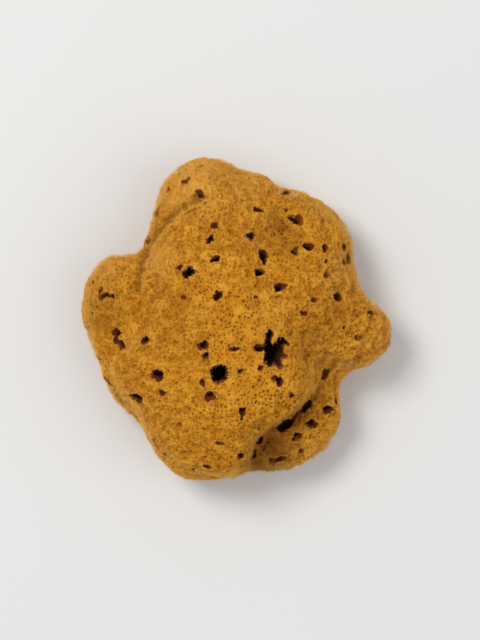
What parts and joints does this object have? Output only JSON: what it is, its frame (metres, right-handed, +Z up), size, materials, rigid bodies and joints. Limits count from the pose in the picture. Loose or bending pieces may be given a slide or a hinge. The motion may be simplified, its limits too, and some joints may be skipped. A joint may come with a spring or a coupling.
{
  "type": "sea sponge",
  "caption": "Natural bath sponge, one lobed porous lump with open oscules and a flat cut base, for washing or as a soft display piece.",
  "frame": {"origin": "middle of the footprint's box, on the flat cut base", "axes": "+Z up from the cut base; +X towards the narrow right-hand lobe, +Y towards the broad rounded lobe"},
  "size_m": [0.1366, 0.1418, 0.0597],
  "materials": {
    "spongin": "dry, matt, porous golden-brown sponge fibre with a paler fuzzy surface"
  },
  "bodies": {
    "root": {"sponge": "spongin"}
  },
  "joints": []
}
